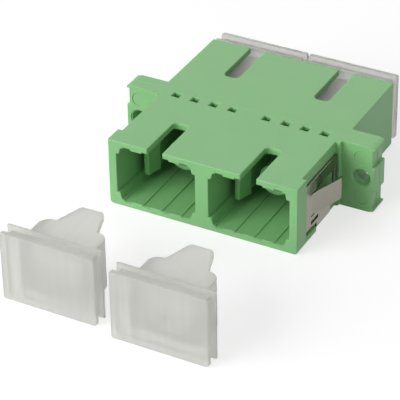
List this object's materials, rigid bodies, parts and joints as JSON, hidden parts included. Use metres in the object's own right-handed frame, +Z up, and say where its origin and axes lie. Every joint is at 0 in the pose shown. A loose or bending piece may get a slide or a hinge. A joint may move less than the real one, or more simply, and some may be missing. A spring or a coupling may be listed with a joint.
{
  "type": "duplex fibre adapter",
  "caption": "Duplex push-pull fibre adapter: flanged two-piece green housing, latch inserts, ceramic sleeves, spring clip, and dust caps fitted at the rear and off at the front.",
  "frame": {"origin": "middle of the housing's underside, on the plane where the two housing halves meet, which is also the optical plane in the middle of the sleeves", "axes": "+X along the row of ports to the right seen from the front, +Y from the front ports to the rear ports, +Z up, towards the keyways"},
  "size_m": [0.0346, 0.0543, 0.0093],
  "materials": {
    "housing_plastic": "moulded, fine satin",
    "insert_plastic": "moulded, satin",
    "spring_steel": "rolled stainless strip",
    "zirconia": "ground and polished",
    "cap_plastic": "translucent moulded polyethylene"
  },
  "bodies": {
    "adapter": {"front_housing": "housing_plastic", "rear_housing": "housing_plastic", "panel_clip": "spring_steel", "latch_insert_front_left": "insert_plastic", "latch_insert_front_right": "insert_plastic", "latch_insert_rear_left": "insert_plastic", "latch_insert_rear_right": "insert_plastic", "split_sleeve_left": "zirconia", "split_sleeve_right": "zirconia"},
    "dust_cap_front_left": {"dust_cap_front_left": "cap_plastic"},
    "dust_cap_front_right": {"dust_cap_front_right": "cap_plastic"},
    "dust_cap_rear_left": {"dust_cap_rear_left": "cap_plastic"},
    "dust_cap_rear_right": {"dust_cap_rear_right": "cap_plastic"}
  },
  "joints": [
    {"name": "dust_cap_front_left_slide", "type": "slide", "parent": "adapter", "child": "dust_cap_front_left", "axis": [0.0597, 0.9982, 0], "range_m": [0, 0.02094]},
    {"name": "dust_cap_front_right_slide", "type": "slide", "parent": "adapter", "child": "dust_cap_front_right", "axis": [-0.0502, 0.9987, 0], "range_m": [0, 0.02193]},
    {"name": "dust_cap_rear_left_slide", "type": "slide", "parent": "adapter", "child": "dust_cap_rear_left", "axis": [0, 1, 0], "range_m": [0, 0.015]},
    {"name": "dust_cap_rear_right_slide", "type": "slide", "parent": "adapter", "child": "dust_cap_rear_right", "axis": [0, 1, 0], "range_m": [0, 0.015]}
  ]
}
